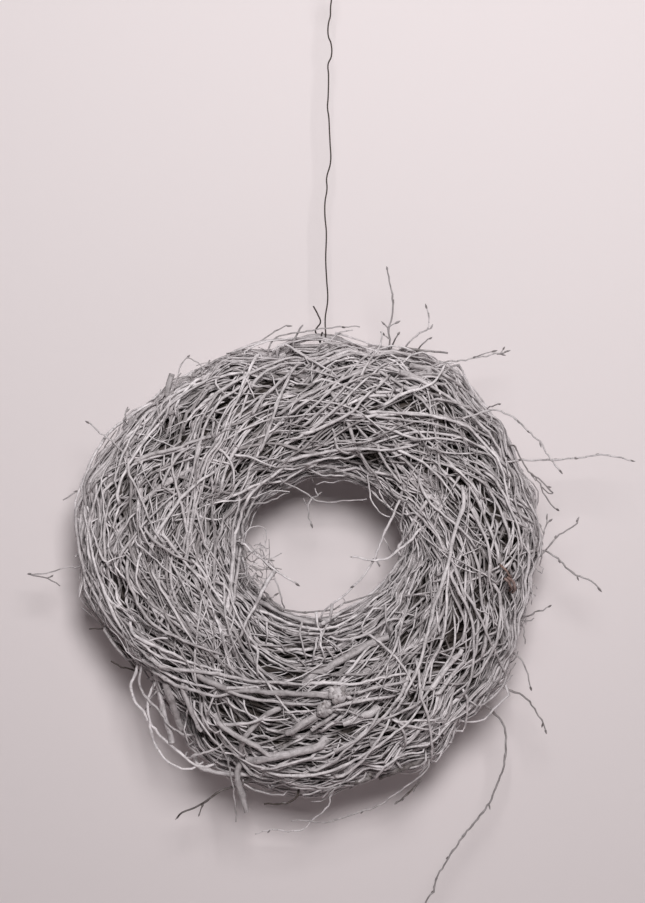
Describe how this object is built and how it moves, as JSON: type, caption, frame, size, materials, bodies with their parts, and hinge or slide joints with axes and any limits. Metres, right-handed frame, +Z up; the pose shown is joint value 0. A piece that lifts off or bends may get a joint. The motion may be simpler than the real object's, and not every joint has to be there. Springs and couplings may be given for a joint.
{
  "type": "twig wreath",
  "caption": "Round wall wreath of loose birch twigs painted pale grey, wound in a thick ring round an open middle, hanging upright on one crinkled dark iron wire.",
  "frame": {"origin": "middle of the eye at the top of the hanging wire, which a nail or hook goes through", "axes": "+Z up along the wire, +Y from the front of the wreath to the wall behind it, +X to the right as seen from the front"},
  "size_m": [0.6034, 0.1453, 0.9451],
  "materials": {
    "painted_twigs": "thin dull pale grey paint over birch bark, worn and patchy",
    "iron_wire": "dark annealed iron wire"
  },
  "bodies": {
    "root": {"twig_bundle_12": "painted_twigs", "twig_bundle_01": "painted_twigs", "twig_bundle_02": "painted_twigs", "twig_bundle_03": "painted_twigs", "twig_bundle_04": "painted_twigs", "twig_bundle_05": "painted_twigs", "twig_bundle_06": "painted_twigs", "twig_bundle_07": "painted_twigs", "twig_bundle_08": "painted_twigs", "twig_bundle_09": "painted_twigs", "twig_bundle_10": "painted_twigs", "twig_bundle_11": "painted_twigs", "hanging_wire": "iron_wire"}
  },
  "joints": []
}
